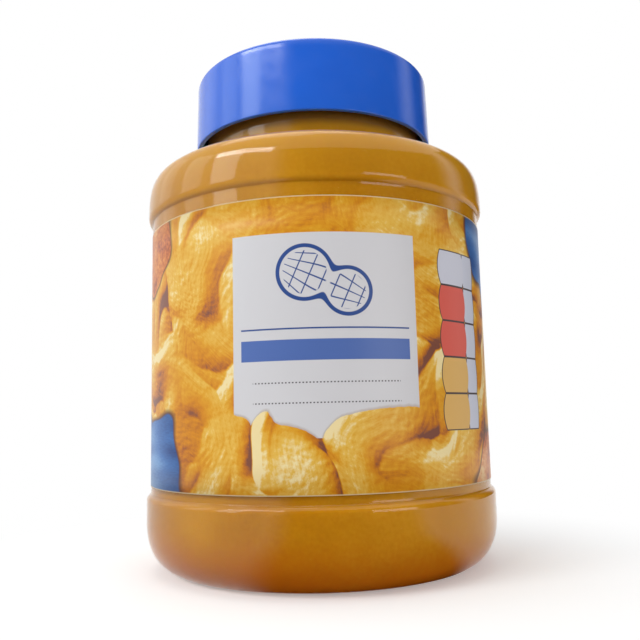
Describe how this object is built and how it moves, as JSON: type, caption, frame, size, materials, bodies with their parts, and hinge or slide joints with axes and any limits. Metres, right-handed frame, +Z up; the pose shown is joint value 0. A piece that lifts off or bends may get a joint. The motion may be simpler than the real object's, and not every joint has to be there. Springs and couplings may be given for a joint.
{
  "type": "peanut butter jar",
  "caption": "Clear squat jar with a recessed belt, filled with smooth nut spread, with a wrap label round the belt and a plain screw lid.",
  "frame": {"origin": "centre of the flat ring that the jar stands on", "axes": "+Z up through the middle of the lid, -Y out through the middle of the label's front, +X to the right of someone facing the front"},
  "size_m": [0.1024, 0.1024, 0.1463],
  "materials": {
    "clear_plastic": "clear glossy PET",
    "lid_plastic": "smooth glossy blue polypropylene",
    "label_film": "printed film with a gloss varnish",
    "spread": "smooth oily paste"
  },
  "bodies": {
    "root": {"jar": "clear_plastic", "peanut_butter": "spread", "label": "label_film", "lid": "lid_plastic"}
  },
  "joints": []
}
